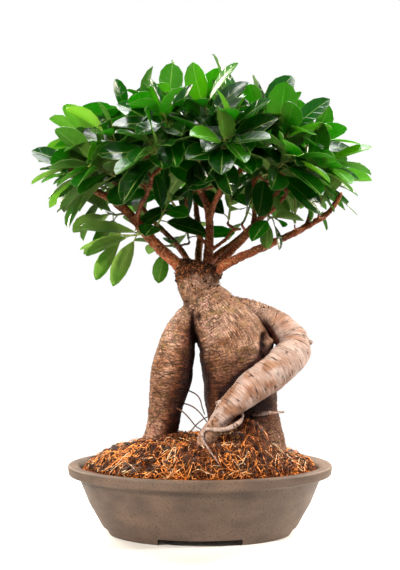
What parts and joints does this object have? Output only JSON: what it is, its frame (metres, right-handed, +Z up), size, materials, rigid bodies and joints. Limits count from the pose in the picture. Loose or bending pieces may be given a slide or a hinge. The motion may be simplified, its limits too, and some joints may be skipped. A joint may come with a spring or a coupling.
{
  "type": "ficus ginseng bonsai",
  "caption": "Ginseng ficus bonsai with a swollen rooted trunk, grafted limbs and a dome of glossy leaves, in a plain oval pot.",
  "frame": {"origin": "on the surface the pot stands on, under the middle of the whole outline", "axes": "+Z up; +X to the right as seen from the front, where the arm root crosses; +Y to the back"},
  "size_m": [0.4062, 0.3558, 0.5592],
  "materials": {
    "stoneware": "matte",
    "drain_screen": "matte",
    "coir_and_bark": "matte",
    "caudex_bark": "matte",
    "limb_bark": "matte",
    "leaf": "gloss"
  },
  "bodies": {
    "root": {"pot": "stoneware", "drain_screen_left": "drain_screen", "drain_screen_right": "drain_screen", "soil": "coir_and_bark", "caudex": "caudex_bark", "limb_left": "limb_bark", "limb_centre": "limb_bark", "limb_right_inner": "limb_bark", "limb_right_outer": "limb_bark", "limb_back_left": "limb_bark", "limb_back": "limb_bark", "limb_back_right": "limb_bark", "leafy_shoot_01": "leaf", "leafy_shoot_02": "leaf", "leafy_shoot_03": "leaf", "leafy_shoot_04": "leaf", "leafy_shoot_05": "leaf", "leafy_shoot_06": "leaf", "leafy_shoot_07": "leaf", "leafy_shoot_08": "leaf", "leafy_shoot_09": "leaf", "leafy_shoot_10": "leaf", "leafy_shoot_11": "leaf", "leafy_shoot_12": "leaf", "leafy_shoot_13": "leaf", "leafy_shoot_14": "leaf", "leafy_shoot_15": "leaf", "leafy_shoot_16": "leaf", "leafy_shoot_17": "leaf", "leafy_shoot_18": "leaf", "leafy_shoot_19": "leaf", "leafy_shoot_20": "leaf", "leafy_shoot_21": "leaf", "leafy_shoot_22": "leaf", "leafy_shoot_23": "leaf", "leafy_shoot_24": "leaf", "leafy_shoot_25": "leaf", "leafy_shoot_26": "leaf", "leafy_shoot_27": "leaf", "leafy_shoot_28": "leaf", "leafy_shoot_29": "leaf", "leafy_shoot_30": "leaf", "leafy_shoot_31": "leaf", "leafy_shoot_32": "leaf", "leafy_shoot_33": "leaf", "leafy_shoot_34": "leaf", "leafy_shoot_35": "leaf", "leafy_shoot_36": "leaf", "leafy_shoot_37": "leaf", "leafy_shoot_38": "leaf", "leafy_shoot_39": "leaf", "leafy_shoot_40": "leaf", "leafy_shoot_41": "leaf", "leafy_shoot_42": "leaf", "leafy_shoot_43": "leaf", "leafy_shoot_44": "leaf", "leafy_shoot_45": "leaf", "leafy_shoot_46": "leaf", "leafy_shoot_47": "leaf"}
  },
  "joints": []
}
